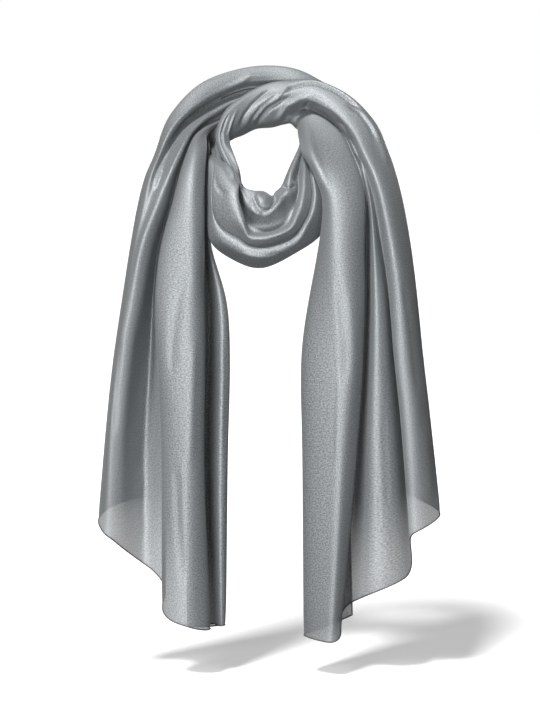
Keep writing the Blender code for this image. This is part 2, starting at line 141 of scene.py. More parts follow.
# A fold's place across the stretch and its reach from back (0) to front (1), at named rungs
LEFT_KEYS = ("crown", "collar", "yoke", "chest", "midriff", "ribs", "waist", "hip", "hem")
LEFT_ACROSS = (
    ("inner selvedge", 0.16, 0.10, 0.24, 0.34, 0.36, 0.38, 0.40, 0.355, 0.31),
    ("inner back", 0.08, 0.03, 0.06, 0.14, 0.14, 0.15, 0.17, 0.16, 0.14),
    ("inner edge", 0.03, 0.00, -0.035, -0.06, 0.00, 0.00, 0.00, 0.00, 0.00),
    ("strip", 0.06, 0.02, -0.01, -0.03, 0.02, 0.08, 0.095, 0.09, 0.055),
    ("inner recess", 0.09, 0.05, 0.04, 0.05, 0.09, 0.18, 0.19, 0.185, 0.11),
    ("inner tuck", 0.13, 0.08, 0.09, 0.10, 0.13, 0.25, 0.26, 0.243, 0.17),
    ("main right", 0.145, 0.02, 0.01, 0.00, 0.05, 0.214, 0.217, 0.20, 0.115),
    ("main right side", 0.18, 0.04, 0.07, 0.05, 0.10, 0.255, 0.26, 0.245, 0.18),
    ("main crest", 0.22, 0.08, 0.22, 0.20, 0.22, 0.36, 0.365, 0.345, 0.30),
    ("main left side", 0.26, 0.12, 0.33, 0.41, 0.50, 0.61, 0.57, 0.494, 0.46),
    ("main left", 0.30, 0.155, 0.385, 0.485, 0.615, 0.695, 0.642, 0.567, 0.51),
    ("outer tuck", 0.315, 0.15, 0.36, 0.46, 0.58, 0.65, 0.60, 0.52, 0.46),
    ("panel", 0.335, 0.165, 0.385, 0.48, 0.61, 0.69, 0.65, 0.585, 0.545),
    ("valley", 0.38, 0.20, 0.43, 0.53, 0.655, 0.72, 0.705, 0.705, 0.65),
    ("second flank", 0.44, 0.24, 0.465, 0.575, 0.72, 0.80, 0.835, 0.84, 0.80),
    ("second ridge", 0.50, 0.30, 0.52, 0.69, 0.845, 0.89, 0.905, 0.905, 0.88),
    ("crease", 0.60, 0.50, 0.78, 0.81, 0.91, 0.94, 0.95, 0.955, 0.935),
    ("first ridge", 0.71, 0.68, 0.88, 0.90, 0.95, 0.967, 0.975, 0.98, 0.965),
    ("outer edge", 1.00, 1.00, 1.00, 1.00, 1.00, 1.00, 1.00, 1.00, 1.00),
    ("outer back", 0.88, 0.85, 0.82, 0.80, 0.82, 0.84, 0.86, 0.86, 0.86),
    ("outer selvedge", 0.60, 0.50, 0.52, 0.52, 0.56, 0.60, 0.62, 0.63, 0.60),
)
LEFT_REACH_KEYS = ("crown", "collar", "yoke", "chest", "waist", "hem")
LEFT_REACH = (
    ("inner selvedge", 0.05, 0.05, 0.06, 0.06, 0.06, 0.10),
    ("inner back", 0.00, 0.00, 0.00, 0.00, 0.02, 0.05),
    ("inner edge", 0.15, 0.04, 0.04, 0.05, 0.30, 0.36),
    ("strip", 0.30, 0.10, 0.10, 0.12, 0.48, 0.52),
    ("inner recess", 0.26, 0.14, 0.14, 0.10, 0.02, 0.16),
    ("inner tuck", 0.30, 0.26, 0.30, 0.26, 0.34, 0.46),
    ("main right", 0.45, 0.50, 0.60, 0.55, 0.72, 0.72),
    ("main right side", 0.60, 0.74, 0.85, 0.88, 0.92, 0.90),
    ("main crest", 0.68, 0.84, 1.00, 1.00, 1.00, 1.00),
    ("main left side", 0.62, 0.74, 0.90, 0.88, 0.88, 0.88),
    ("main left", 0.48, 0.52, 0.70, 0.72, 0.70, 0.70),
    ("outer tuck", 0.28, 0.26, 0.34, 0.36, 0.38, 0.44),
    ("panel", 0.12, 0.10, 0.14, 0.16, 0.26, 0.38),
    ("valley", 0.14, 0.06, 0.08, 0.06, 0.02, 0.26),
    ("second flank", 0.42, 0.46, 0.60, 0.66, 0.74, 0.58),
    ("second ridge", 0.80, 0.88, 0.88, 0.84, 0.80, 0.66),
    ("crease", 0.08, 0.20, 0.44, 0.66, 0.79, 0.66),
    ("first ridge", 0.95, 0.95, 0.80, 0.64, 0.71, 0.58),
    ("outer edge", 0.50, 0.50, 0.36, 0.32, 0.36, 0.34),
    ("outer back", 0.08, 0.10, 0.08, 0.06, 0.04, 0.06),
    ("outer selvedge", 0.00, 0.00, 0.02, 0.02, 0.00, 0.02),
)

# How far down the cut end lies on each fold
LEFT_HEMS = (
    ("inner selvedge", 633.5),
    ("inner back", 634.5),
    ("inner edge", 628.5),
    ("strip", 629.5),
    ("inner recess", 629.5),
    ("inner tuck", 629.5),
    ("main right", 629.5),
    ("main right side", 629.5),
    ("main crest", 624.5),
    ("main left side", 618.0),
    ("main left", 607.0),
    ("outer tuck", 592.0),
    ("panel", 576.0),
    ("valley", 567.5),
    ("second flank", 549.5),
    ("second ridge", 539.5),
    ("crease", 535.0),
    ("first ridge", 530.5),
    ("outer edge", 520.5),
    ("outer back", 508.0),
    ("outer selvedge", 500.5),
)

RIGHT_KEYS = (
    "roll right", "arch", "collar", "yoke", "chest", "midriff", "ribs", "waist", "hip", "hem",
)
RIGHT_ACROSS = (
    ("inner selvedge", 0.72, 0.70, 0.46, 0.42, 0.40, 0.38, 0.36, 0.36, 0.36, 0.36),
    ("inner back", 0.52, 0.40, 0.28, 0.26, 0.18, 0.14, 0.08, 0.10, 0.11, 0.12),
    ("inner edge", 0.30, 0.12, 0.04, 0.02, 0.00, 0.00, 0.00, 0.00, 0.00, 0.00),
    ("main ridge", 0.10, 0.00, 0.10, 0.11, 0.10, 0.134, 0.218, 0.27, 0.24, 0.16),
    ("main middle", 0.00, 0.12, 0.28, 0.34, 0.34, 0.337, 0.39, 0.42, 0.335, 0.22),
    ("main right", 0.04, 0.30, 0.44, 0.56, 0.52, 0.487, 0.509, 0.505, 0.43, 0.272),
    ("inner tuck", 0.10, 0.37, 0.46, 0.56, 0.515, 0.485, 0.502, 0.495, 0.425, 0.275),
    ("groove", 0.15, 0.41, 0.49, 0.585, 0.545, 0.525, 0.53, 0.525, 0.452, 0.325),
    ("middle ridge", 0.20, 0.44, 0.515, 0.61, 0.58, 0.585, 0.59, 0.58, 0.53, 0.49),
    ("middle right", 0.26, 0.46, 0.535, 0.63, 0.61, 0.63, 0.685, 0.70, 0.705, 0.71),
    ("outer tuck", 0.31, 0.475, 0.55, 0.645, 0.64, 0.68, 0.75, 0.768, 0.782, 0.79),
    ("outer left", 0.36, 0.49, 0.565, 0.66, 0.655, 0.68, 0.73, 0.747, 0.762, 0.765),
    ("outer ridge", 0.47, 0.58, 0.63, 0.70, 0.71, 0.76, 0.81, 0.815, 0.83, 0.81),
    ("outer middle", 0.74, 0.80, 0.80, 0.82, 0.84, 0.86, 0.90, 0.905, 0.907, 0.90),
    ("outer edge", 1.00, 1.00, 1.00, 1.00, 1.00, 1.00, 1.00, 1.00, 1.00, 1.00),
    ("outer back", 0.96, 0.92, 0.88, 0.84, 0.84, 0.85, 0.86, 0.87, 0.87, 0.86),
    ("outer selvedge", 0.86, 0.82, 0.66, 0.62, 0.62, 0.63, 0.64, 0.64, 0.66, 0.765),
)
RIGHT_REACH_KEYS = ("roll right", "arch", "collar", "yoke", "chest", "waist", "hem")
RIGHT_REACH = (
    ("inner selvedge", 0.04, 0.04, 0.08, 0.04, 0.04, 0.03, 0.10),
    ("inner back", 0.00, 0.02, 0.10, 0.08, 0.08, 0.03, 0.08),
    ("inner edge", 0.04, 0.12, 0.34, 0.50, 0.49, 0.58, 0.60),
    ("main ridge", 0.14, 0.36, 0.60, 0.84, 0.88, 0.94, 0.94),
    ("main middle", 0.38, 0.50, 0.58, 0.78, 0.86, 0.97, 0.97),
    ("main right", 0.62, 0.46, 0.46, 0.58, 0.62, 0.72, 0.76),
    ("inner tuck", 0.72, 0.34, 0.28, 0.28, 0.26, 0.30, 0.34),
    ("groove", 0.79, 0.26, 0.14, 0.12, 0.08, 0.02, 0.12),
    ("middle ridge", 0.85, 0.38, 0.28, 0.30, 0.42, 0.68, 0.68),
    ("middle right", 0.90, 0.47, 0.38, 0.34, 0.36, 0.62, 0.62),
    ("outer tuck", 0.93, 0.56, 0.46, 0.38, 0.26, 0.04, 0.10),
    ("outer left", 0.96, 0.67, 0.62, 0.60, 0.62, 0.70, 0.70),
    ("outer ridge", 1.00, 0.96, 0.96, 0.96, 0.90, 0.80, 0.76),
    ("outer middle", 0.96, 0.94, 0.90, 0.86, 0.80, 0.74, 0.70),
    ("outer edge", 0.56, 0.58, 0.52, 0.42, 0.34, 0.28, 0.32),
    ("outer back", 0.26, 0.18, 0.12, 0.08, 0.06, 0.04, 0.08),
    ("outer selvedge", 0.10, 0.08, 0.06, 0.02, 0.02, 0.00, 0.02),
)

# How far down the cut end lies on each fold
RIGHT_HEMS = (
    ("inner selvedge", 622.0),
    ("inner back", 637.0),
    ("inner edge", 637.0),
    ("main ridge", 640.5),
    ("main middle", 640.5),
    ("main right", 637.0),
    ("inner tuck", 619.0),
    ("groove", 611.0),
    ("middle ridge", 594.0),
    ("middle right", 582.0),
    ("outer tuck", 571.0),
    ("outer left", 535.5),
    ("outer ridge", 531.0),
    ("outer middle", 525.0),
    ("outer edge", 515.0),
    ("outer back", 505.0),
    ("outer selvedge", 499.0),
)

LOOP_KEYS = (
    "strand", "right top", "right", "right low", "bottom right", "bottom",
    "corner", "bottom left", "left low", "left", "left top", "left end",
)
LOOP_ACROSS = (
    ("rim selvedge", 0.24, 0.16, 0.16, 0.20, 0.24, 0.26, 0.24, 0.22, 0.18, 0.14, 0.16, 0.22),
    ("rim", 0.00, 0.00, 0.00, 0.00, 0.00, 0.00, 0.00, 0.00, 0.00, 0.00, 0.00, 0.00),
    ("ball", 0.10, 0.10, 0.10, 0.07, 0.10, 0.16, 0.14, 0.09, 0.04, 0.02, 0.04, 0.10),
    ("bowl ridge", 0.20, 0.18, 0.20, 0.14, 0.18, 0.30, 0.28, 0.20, 0.08, 0.04, 0.08, 0.20),
    ("bowl", 0.28, 0.27, 0.31, 0.30, 0.40, 0.44, 0.44, 0.30, 0.12, 0.06, 0.12, 0.28),
    ("lip corner", 0.32, 0.31, 0.37, 0.40, 0.535, 0.555, 0.565, 0.37, 0.17, 0.07, 0.14, 0.32),
    ("lip", 0.35, 0.34, 0.375, 0.405, 0.53, 0.545, 0.55, 0.36, 0.16, 0.06, 0.15, 0.35),
    ("roll crest", 0.48, 0.46, 0.48, 0.50, 0.61, 0.61, 0.615, 0.50, 0.40, 0.36, 0.46, 0.48),
    ("roll under", 0.61, 0.60, 0.64, 0.635, 0.73, 0.71, 0.71, 0.675, 0.69, 0.86, 0.78, 0.61),
    ("roll groove", 0.60, 0.59, 0.625, 0.62, 0.715, 0.695, 0.695, 0.66, 0.675, 0.87, 0.80, 0.60),
    ("band top", 0.64, 0.63, 0.66, 0.655, 0.745, 0.725, 0.725, 0.69, 0.72, 0.895, 0.83, 0.64),
    ("band belly", 0.78, 0.71, 0.73, 0.71, 0.86, 0.84, 0.84, 0.83, 0.84, 0.94, 0.90, 0.78),
    ("band bottom", 1.00, 1.00, 1.00, 1.00, 1.00, 1.00, 1.00, 1.00, 1.00, 1.00, 1.00, 1.00),
    ("band back", 0.86, 0.88, 0.88, 0.90, 0.90, 0.90, 0.90, 0.90, 0.90, 0.90, 0.88, 0.86),
    ("back", 0.66, 0.66, 0.66, 0.68, 0.68, 0.68, 0.68, 0.68, 0.66, 0.64, 0.62, 0.66),
    ("band selvedge", 0.50, 0.42, 0.42, 0.46, 0.48, 0.48, 0.48, 0.46, 0.42, 0.38, 0.40, 0.50),
)
LOOP_REACH = (
    ("rim selvedge", 0.10, 0.10, 0.08, 0.04, 0.02, 0.02, 0.02, 0.04, 0.06, 0.08, 0.10, 0.10),
    ("rim", 0.34, 0.36, 0.30, 0.20, 0.12, 0.10, 0.10, 0.14, 0.20, 0.28, 0.34, 0.34),
    ("ball", 0.70, 0.66, 0.56, 0.42, 0.32, 0.42, 0.34, 0.26, 0.28, 0.34, 0.42, 0.60),
    ("bowl ridge", 0.74, 0.58, 0.60, 0.56, 0.48, 0.44, 0.42, 0.36, 0.34, 0.38, 0.46, 0.66),
    ("bowl", 0.58, 0.32, 0.44, 0.30, 0.20, 0.18, 0.18, 0.24, 0.32, 0.40, 0.48, 0.58),
    ("lip corner", 0.56, 0.26, 0.32, 0.28, 0.28, 0.28, 0.28, 0.28, 0.30, 0.34, 0.44, 0.56),
    ("lip", 0.66, 0.50, 0.66, 0.70, 0.78, 0.80, 0.80, 0.80, 0.82, 0.80, 0.78, 0.66),
    ("roll crest", 0.80, 0.78, 0.84, 0.90, 0.94, 0.94, 0.94, 0.96, 0.98, 1.00, 0.94, 0.80),
    ("roll under", 0.52, 0.60, 0.58, 0.66, 0.68, 0.72, 0.72, 0.70, 0.70, 0.70, 0.66, 0.52),
    ("roll groove", 0.46, 0.48, 0.46, 0.50, 0.52, 0.56, 0.56, 0.54, 0.52, 0.56, 0.54, 0.46),
    ("band top", 0.60, 0.65, 0.66, 0.76, 0.82, 0.86, 0.86, 0.84, 0.75, 0.56, 0.52, 0.60),
    ("band belly", 0.66, 0.74, 0.74, 0.83, 0.90, 0.92, 0.92, 0.90, 0.76, 0.44, 0.44, 0.66),
    ("band bottom", 0.20, 0.24, 0.20, 0.20, 0.42, 0.50, 0.50, 0.48, 0.40, 0.28, 0.28, 0.20),
    ("band back", 0.10, 0.10, 0.08, 0.08, 0.20, 0.26, 0.26, 0.24, 0.18, 0.12, 0.12, 0.10),
    ("back", 0.04, 0.03, 0.03, 0.03, 0.10, 0.12, 0.12, 0.12, 0.10, 0.05, 0.04, 0.04),
    ("band selvedge", 0.00, 0.00, 0.00, 0.00, 0.04, 0.06, 0.06, 0.06, 0.06, 0.02, 0.01, 0.00),
)

ROLL_END = "roll right"
TWIST = 75.0

# Creases: name, first and last fold, lift to the front in mm, half width and points in squares
CREASE_FADE = 0.22
CREASE_SIDE = 5.0
LEFT_CREASES = (
    ("band groove", "second flank", "outer edge", -3.6, 2.4,
     ((262, 88), (250, 92), (228, 98), (215, 103), (200, 110), (190, 117), (180, 127), (172, 138),
      (165, 147))),
    ("band fold", "valley", "first ridge", 2.5, 2.6,
     ((240, 101), (228, 106), (215, 114), (205, 120), (195, 130), (186, 142), (178, 157),
      (172, 170), (165, 190))),
    ("band valley", "second ridge", "outer edge", -3.0, 3.0,
     ((305, 85), (275, 86.5), (255, 88), (235, 95), (215, 101))),
    ("band ridge", "second ridge", "outer edge", 2.5, 2.4,
     ((290, 76), (250, 78), (240, 84), (220, 93), (200, 104), (190, 111), (180, 120), (170, 133),
      (157, 155))),
    ("band edge", "crease", "outer edge", -1.2, 1.0, ((244, 69), (225, 75), (205, 82))),
    ("main groove", "outer tuck", "second ridge", -5.0, 1.6,
     ((236, 110), (217, 120), (208, 124), (200, 130), (193, 138), (187, 150), (183, 162),
      (178, 178), (172, 195))),
    ("shoulder crease", "valley", "outer edge", -2.5, 1.2, ((163, 168), (159, 180), (154, 193))),
    ("shoulder fold", "valley", "outer edge", 1.6, 1.8, ((169, 148), (163, 160), (158, 174), (152, 190))),
    ("main shallow", "main right side", "main left side", -1.6, 5.0,
     ((190, 262), (178, 300), (172, 345), (170, 380))),
    ("main soft ridge", "main right side", "main left side", 1.6, 6.0,
     ((196, 330), (192, 400), (190, 470))),
    ("main lower trough", "main right side", "main left side", -1.4, 4.0,
     ((176, 455), (178, 520), (184, 590))),
    ("strip trough", "inner edge", "strip", -1.2, 3.0, ((224, 330), (226, 400), (225, 465))),
    ("ridge trough", "second flank", "first ridge", -1.4, 3.0, ((122, 330), (117, 380), (114, 440))),
    ("panel ridge", "panel", "second flank", 1.4, 4.0, ((140, 470), (136, 510), (140, 545))),
    ("back long trough", "inner selvedge", "inner edge", -3.0, 6.0,
     ((205, 240), (207, 320), (202, 430), (206, 540))),
    ("back short ridge", "inner selvedge", "inner edge", 2.4, 5.0, ((196, 280), (194, 350), (198, 410))),
    ("back low ridge", "inner selvedge", "inner edge", 2.0, 6.0, ((214, 470), (211, 540), (213, 610))),
    ("back outer trough", "outer edge", "outer selvedge", -3.0, 6.0,
     ((150, 220), (140, 290), (132, 380), (126, 470))),
    ("back outer ridge", "outer edge", "outer selvedge", 2.6, 5.0, ((141, 235), (128, 310), (122, 380))),
    ("back low trough", "outer edge", "outer selvedge", -1.8, 4.0, ((146, 390), (142, 440), (143, 490))),
)
RIGHT_CREASES = (
    ("rope strand", "main ridge", "outer edge", -2.6, 1.1,
     ((230, 110), (225, 122), (221, 135), (222, 145), (227, 155), (233, 167), (237, 180))),
    ("rope fold", "main ridge", "outer edge", -2.2, 1.0,
     ((238, 108), (231, 124), (227, 136), (228, 147), (233, 159), (237, 170), (240, 182))),
    ("roll diagonal", "inner edge", "outer edge", 3.0, 2.6,
     ((250, 129), (256, 119), (263, 111), (276, 102), (292, 89))),
    ("roll furrow", "inner edge", "outer edge", -3.6, 2.2,
     ((255, 130), (262, 119), (269, 110), (280, 104), (296, 96))),
    ("roll fold", "inner edge", "outer edge", 3.2, 2.4,
     ((276, 127), (281, 117), (287, 108), (300, 101), (315, 97))),
    ("roll hollow", "inner edge", "outer edge", -3.0, 2.2,
     ((284, 126), (289, 116), (296, 110), (306, 105))),
    ("roll left furrow", "inner edge", "outer edge", -2.6, 1.8,
     ((238, 132), (244, 117), (252, 106), (263, 96), (274, 90))),
    ("roll left fold", "inner edge", "outer edge", 2.0, 2.0,
     ((243, 132), (249, 119), (258, 108), (270, 99), (281, 93))),
    ("upper crease", "outer ridge", "outer edge", -5.5, 1.5,
     ((278, 103), (285, 94), (291, 89), (305, 85), (315, 84), (325, 87), (335, 91), (345, 97),
      (355, 105), (364, 113))),
    ("arch hole", "inner edge", "outer ridge", -8.0, 2.8, ((304, 111), (310, 106), (316, 102), (322, 107))),
    ("nub line", "inner edge", "main right", -5.0, 1.5,
     ((284, 127), (289, 120), (300, 116), (306, 112), (312, 107))),
    ("groove line", "main right", "outer ridge", -3.2, 1.6,
     ((318, 107), (330, 112), (338, 118), (345, 130), (350, 140), (356, 152), (360, 165), (363, 180))),
    ("column ridge", "inner edge", "main right", 3.0, 5.0,
     ((300, 118), (307, 130), (310, 145), (315, 162), (322, 180), (328, 196))),
    ("shoulder fold", "outer ridge", "outer edge", 2.2, 3.5,
     ((352, 108), (365, 117), (375, 130), (384, 150), (390, 170))),
    ("shoulder crease", "outer ridge", "outer edge", -2.0, 2.4,
     ((346, 104), (360, 113), (370, 126), (379, 145))),
    ("main slant", "main ridge", "main right", -1.8, 6.0, ((322, 262), (340, 300), (346, 345), (344, 390))),
    ("main soft ridge", "main ridge", "main right", 1.6, 6.0, ((328, 320), (334, 390), (331, 470))),
    ("main low trough", "main ridge", "main right", -1.4, 5.0, ((314, 470), (316, 540), (322, 610))),
    ("middle trough", "middle ridge", "middle right", -1.5, 3.0, ((384, 400), (386, 450), (390, 520))),
    ("outer trough", "outer ridge", "outer edge", -1.6, 3.5, ((402, 270), (411, 330), (419, 400))),
    ("outer low ridge", "outer ridge", "outer edge", 1.4, 4.0, ((424, 420), (428, 460), (432, 505))),
    ("back long trough", "inner selvedge", "inner edge", -3.0, 6.0,
     ((330, 250), (322, 330), (318, 430), (322, 550))),
    ("back short ridge", "inner selvedge", "inner edge", 2.4, 5.0, ((340, 270), (333, 340), (330, 400))),
    ("back low ridge", "inner selvedge", "inner edge", 2.0, 6.0, ((335, 470), (332, 540), (330, 610))),
    ("back outer trough", "outer edge", "outer selvedge", -3.0, 6.0,
     ((388, 220), (398, 290), (406, 380), (412, 470))),
    ("back outer ridge", "outer edge", "outer selvedge", 2.6, 5.0, ((396, 240), (410, 320), (416, 390))),
    ("back low trough", "outer edge", "outer selvedge", -1.8, 4.0, ((396, 400), (400, 450), (402, 492))),
)
LOOP_CREASES = (
    ("strand edge", "rim", "bowl", -6.0, 1.6, ((305, 152), (303, 160), (300, 172), (295, 185))),
    ("strand middle", "rim", "bowl", 1.8, 2.4, ((300, 150), (297, 160), (292, 172), (288, 184))),
    ("strand end", "rim", "bowl", -5.0, 1.6, ((281, 188), (287, 188), (297, 188))),
    ("ball edge", "rim", "lip corner", -4.5, 1.6,
     ((252, 192), (254, 199), (257, 206), (263, 212), (270, 210), (275, 201), (275, 195))),
    ("ball top", "rim", "bowl", 2.0, 4.0, ((256, 194), (262, 201), (270, 196))),
    ("bowl lip", "rim", "lip corner", 2.6, 1.9,
     ((243, 203), (250, 208), (256, 213), (262, 216), (268, 215), (275, 209), (281, 202), (287, 196))),
    ("bright pad", "rim", "lip corner", 2.0, 4.5, ((284, 190), (291, 197), (290, 207))),
    ("lip line", "bowl ridge", "lip", -5.0, 1.5,
     ((238, 178), (239, 190), (241, 204), (244, 213), (247, 222), (251, 232))),
    ("leaf edge", "lip corner", "roll under", -2.6, 1.8,
     ((213, 158), (212, 166), (213, 176), (216, 186), (221, 192), (229, 196))),
    ("leaf", "lip corner", "roll crest", 3.0, 3.0, ((216, 160), (218, 172), (222, 184), (230, 190))),
    ("leaf rim", "bowl", "roll crest", 3.6, 2.0, ((214, 161), (222, 164), (230, 171), (236, 181))),
    ("band crease", "band top", "band bottom", -1.6, 1.8, ((240, 247), (255, 252), (270, 253), (283, 250))),
    ("back crease", "band back", "band selvedge", -2.4, 2.6,
     ((222, 232), (240, 246), (262, 251), (285, 245))),
    ("back ridge", "band back", "band selvedge", 2.0, 2.6,
     ((228, 222), (246, 236), (266, 240), (280, 236))),
)

# Silk
SILK_DARK = (0.175, 0.19, 0.20, 1.0)
SILK_LIGHT = (0.53, 0.555, 0.57, 1.0)
SILK_ROUGHNESS = 0.6
SILK_METAL = 0.65
SEE_THROUGH = 0.2
# Painted light near the cut end: how much more see-through the silk is made there, and over what reach up
HEM_LIGHT_SHEER = 0.17
HEM_LIGHT_REACH = 0.13
FLECK_SIZE = 0.0016
FLECK_DARK_AT = 0.36
FLECK_LIGHT_AT = 0.64
SLUB_STRETCH = (420.0, 60.0, 1.0)
SLUB_SHARE = 0.4
GLOSS_SWING = 0.05
WEAVE_RELIEF = 0.0005

# Rolled hem and its thread
# Painted shade: the rolled edge is painted near-black for the dark line along it
HEM_SHADE_COLOUR = (0.07, 0.07, 0.075, 1.0)
HEM_GRAIN = 900.0
HEM_RELIEF = 0.0003
THREAD_COLOUR = (0.20, 0.21, 0.22, 1.0)
THREAD_TWIST = 1500.0
THREAD_RELIEF = 0.0001

# Studio
FLOOR_SIZE = 60.0
FLOOR_COLOUR = (0.95, 0.95, 0.95, 1.0)
FLOOR_BOUNCE = (0.10, 0.10, 0.10, 1.0)
FLOOR_GLOW = 0.26
BACKDROP_LIGHT = 1.0
ROOM_LIGHT = 0.07
SUN_STRENGTH = 3.7
SUN_SPREAD = 11.0
SUN_RISE = 56.0
SUN_LEFT = 27.0

# Soft lights: name, place, aim, size in metres, power in watts
LIGHTS = (
    ("softbox", (-0.8, -3.4, -0.05), (0.0, 0.0, -0.5), 1.0, 84.0),
    ("back light", (0.9, 3.0, 0.5), (0.0, 0.0, -0.3), 1.4, 24.0),
)


# Shape of the cloth

def glide(knots, values, at, level=True):
    """Values at new places on smooth curves through the knots. Level curves never overshoot them."""
    knots = np.asarray(knots, float)
    values = np.asarray(values, float)
    width = np.diff(knots)
    rise = np.diff(values, axis=0) / width[:, None]
    slope = np.zeros_like(values)
    if level:
        w0 = (2 * width[1:] + width[:-1])[:, None]
        w1 = (width[1:] + 2 * width[:-1])[:, None]
        same = rise[:-1] * rise[1:] > 0
        before = np.where(same, rise[:-1], 1.0)
        after = np.where(same, rise[1:], 1.0)
        slope[1:-1] = np.where(same, (w0 + w1) / (w0 / before + w1 / after), 0.0)
    else:
        share = (width[1:] / (width[1:] + width[:-1]))[:, None]
        slope[1:-1] = rise[:-1] * share + rise[1:] * (1 - share)
    slope[0] = rise[0]
    slope[-1] = rise[-1]
    at = np.clip(at, knots[0], knots[-1])
    cell = np.clip(np.searchsorted(knots, at, side="right") - 1, 0, len(knots) - 2)
    t = ((at - knots[cell]) / width[cell])[:, None]
    h = width[cell][:, None]
    value = values[cell] * (1 + 2 * t) * (1 - t) ** 2
    value += slope[cell] * h * t * (1 - t) ** 2
    value += values[cell + 1] * t ** 2 * (3 - 2 * t)
    value += slope[cell + 1] * h * t ** 2 * (t - 1)
    return value


def rung_numbers(rungs):
    """Rung rows as an array, with the distance of each along the stretch."""
    rows = np.array([rung[1:] for rung in rungs], float)
    centre = np.column_stack((
        (rows[:, 0] + rows[:, 2]) / 2 * SQUARE,
        (rows[:, 4] + rows[:, 5]) / 2 * MM,
        (rows[:, 1] + rows[:, 3]) / 2 * SQUARE,
    ))
    reach = np.linalg.norm(np.diff(centre, axis=0), axis=1)
    return rows, np.concatenate(([0.0], np.cumsum(reach)))


def distance_to(name, rungs, distance):
    """How far along the stretch a named rung is."""
    return distance[[rung[0] for rung in rungs].index(name)]


def fold_table(table, keys, rungs, distance, at):
    """A value for each station and fold, from its values at the named rungs."""
    knots = [distance_to(key, rungs, distance) for key in keys]
    values = np.array([row[1:] for row in table], float).T
    return glide(knots, values, at)


def place(rows, distance, at, across, reach):
    """Fold points in metres from places across and reaches forward."""
    rung = glide(distance, rows, at, level=False)
    inner_x, inner_down, outer_x, outer_down, back, front = (rung[:, i][:, None] for i in range(6))
    x = inner_x + (outer_x - inner_x) * across
    down = inner_down + (outer_down - inner_down) * across
    y = back + (front - back) * reach
    return np.stack(((x - MIDDLE) * SQUARE, y * MM, (NAPE - down) * SQUARE), axis=2)


def hang_to_hem(points, rows, distance, rungs, at, across, hems):
    """Slides the lower part of each fold so that it ends at its own place on the cut end."""
    start = distance_to("waist", rungs, distance)
    share = np.clip((at - start) / (distance[-1] - start), 0.0, 1.0)[:, None]
    level = rows[-1, 1] + (rows[-1, 3] - rows[-1, 1]) * across[-1]
    ends = np.array([row[1] for row in hems])
    points[:, :, 2] -= share * (ends - level)[None, :] * SQUARE
    return points


def twisted(across, reach, at, distance, rungs):
    """Turns the section of the roll about its middle, more the further it is from the roll's end."""
    end = distance_to(ROLL_END, rungs, distance)
    angle = np.radians(TWIST) * np.clip(1 - at / end, 0.0, 1.0)[:, None]
    side = across - 0.5
    front = reach - 0.5
    turned = side * np.cos(angle) - front * np.sin(angle)
    front = side * np.sin(angle) + front * np.cos(angle)
    return 0.5 + turned, 0.5 + front


def left_points(at):
    """Fold points of the left end and the band over the crown."""
    rows, distance = rung_numbers(LEFT_RUNGS)
    across = fold_table(LEFT_ACROSS, LEFT_KEYS, LEFT_RUNGS, distance, at)
    reach = fold_table(LEFT_REACH, LEFT_REACH_KEYS, LEFT_RUNGS, distance, at)
    points = place(rows, distance, at, across, reach)
    return hang_to_hem(points, rows, distance, LEFT_RUNGS, at, across, LEFT_HEMS)


def right_points(at):
    """Fold points of the rope, the roll behind the neck and the right end."""
    rows, distance = rung_numbers(RIGHT_RUNGS)
    across = fold_table(RIGHT_ACROSS, RIGHT_KEYS, RIGHT_RUNGS, distance, at)
    reach = fold_table(RIGHT_REACH, RIGHT_REACH_KEYS, RIGHT_RUNGS, distance, at)
    across, reach = twisted(across, reach, at, distance, RIGHT_RUNGS)
    points = place(rows, distance, at, across, reach)
    return hang_to_hem(points, rows, distance, RIGHT_RUNGS, at, across, RIGHT_HEMS)


def loop_points(at):
    """Fold points of the strand and the loop in front of the neck."""
    rows, distance = rung_numbers(LOOP_RUNGS)
    across = fold_table(LOOP_ACROSS, LOOP_KEYS, LOOP_RUNGS, distance, at)
    reach = fold_table(LOOP_REACH, LOOP_KEYS, LOOP_RUNGS, distance, at)
    return place(rows, distance, at, across, reach)


def sheet_normals(grid):
    """Unit normals, each an even mean of the patches that meet there."""
    rising = grid[1:, 1:] - grid[:-1, :-1]
    falling = grid[:-1, 1:] - grid[1:, :-1]
    patch = np.cross(rising, falling)
    patch /= np.linalg.norm(patch, axis=2, keepdims=True)
    normal = np.zeros_like(grid)
    normal[:-1, :-1] += patch
    normal[1:, :-1] += patch
    normal[:-1, 1:] += patch
    normal[1:, 1:] += patch
    return normal / np.linalg.norm(normal, axis=2, keepdims=True)


def smooth_step(t):
    """Rises from 0 to 1 with level ends."""
    t = np.clip(t, 0.0, 1.0)
    return t * t * (3 - 2 * t)


def hangs(rungs):
    """True for a stretch that ends in a hanging cut end."""
    return rungs[-1][0] == "hem"


def stations(distance, rungs):
    """Close places along a stretch, closest round the neck, where the creases are."""
    if not hangs(rungs):
        return np.linspace(0.0, distance[-1], int(distance[-1] / STEP_NECK) + 2)
    chest = distance_to("chest", rungs, distance)
    neck = np.linspace(0.0, chest, int(chest / STEP_NECK) + 2)
    tail = np.linspace(chest, distance[-1], int((distance[-1] - chest) / STEP_TAIL) + 2)
    return np.concatenate((neck, tail[1:]))


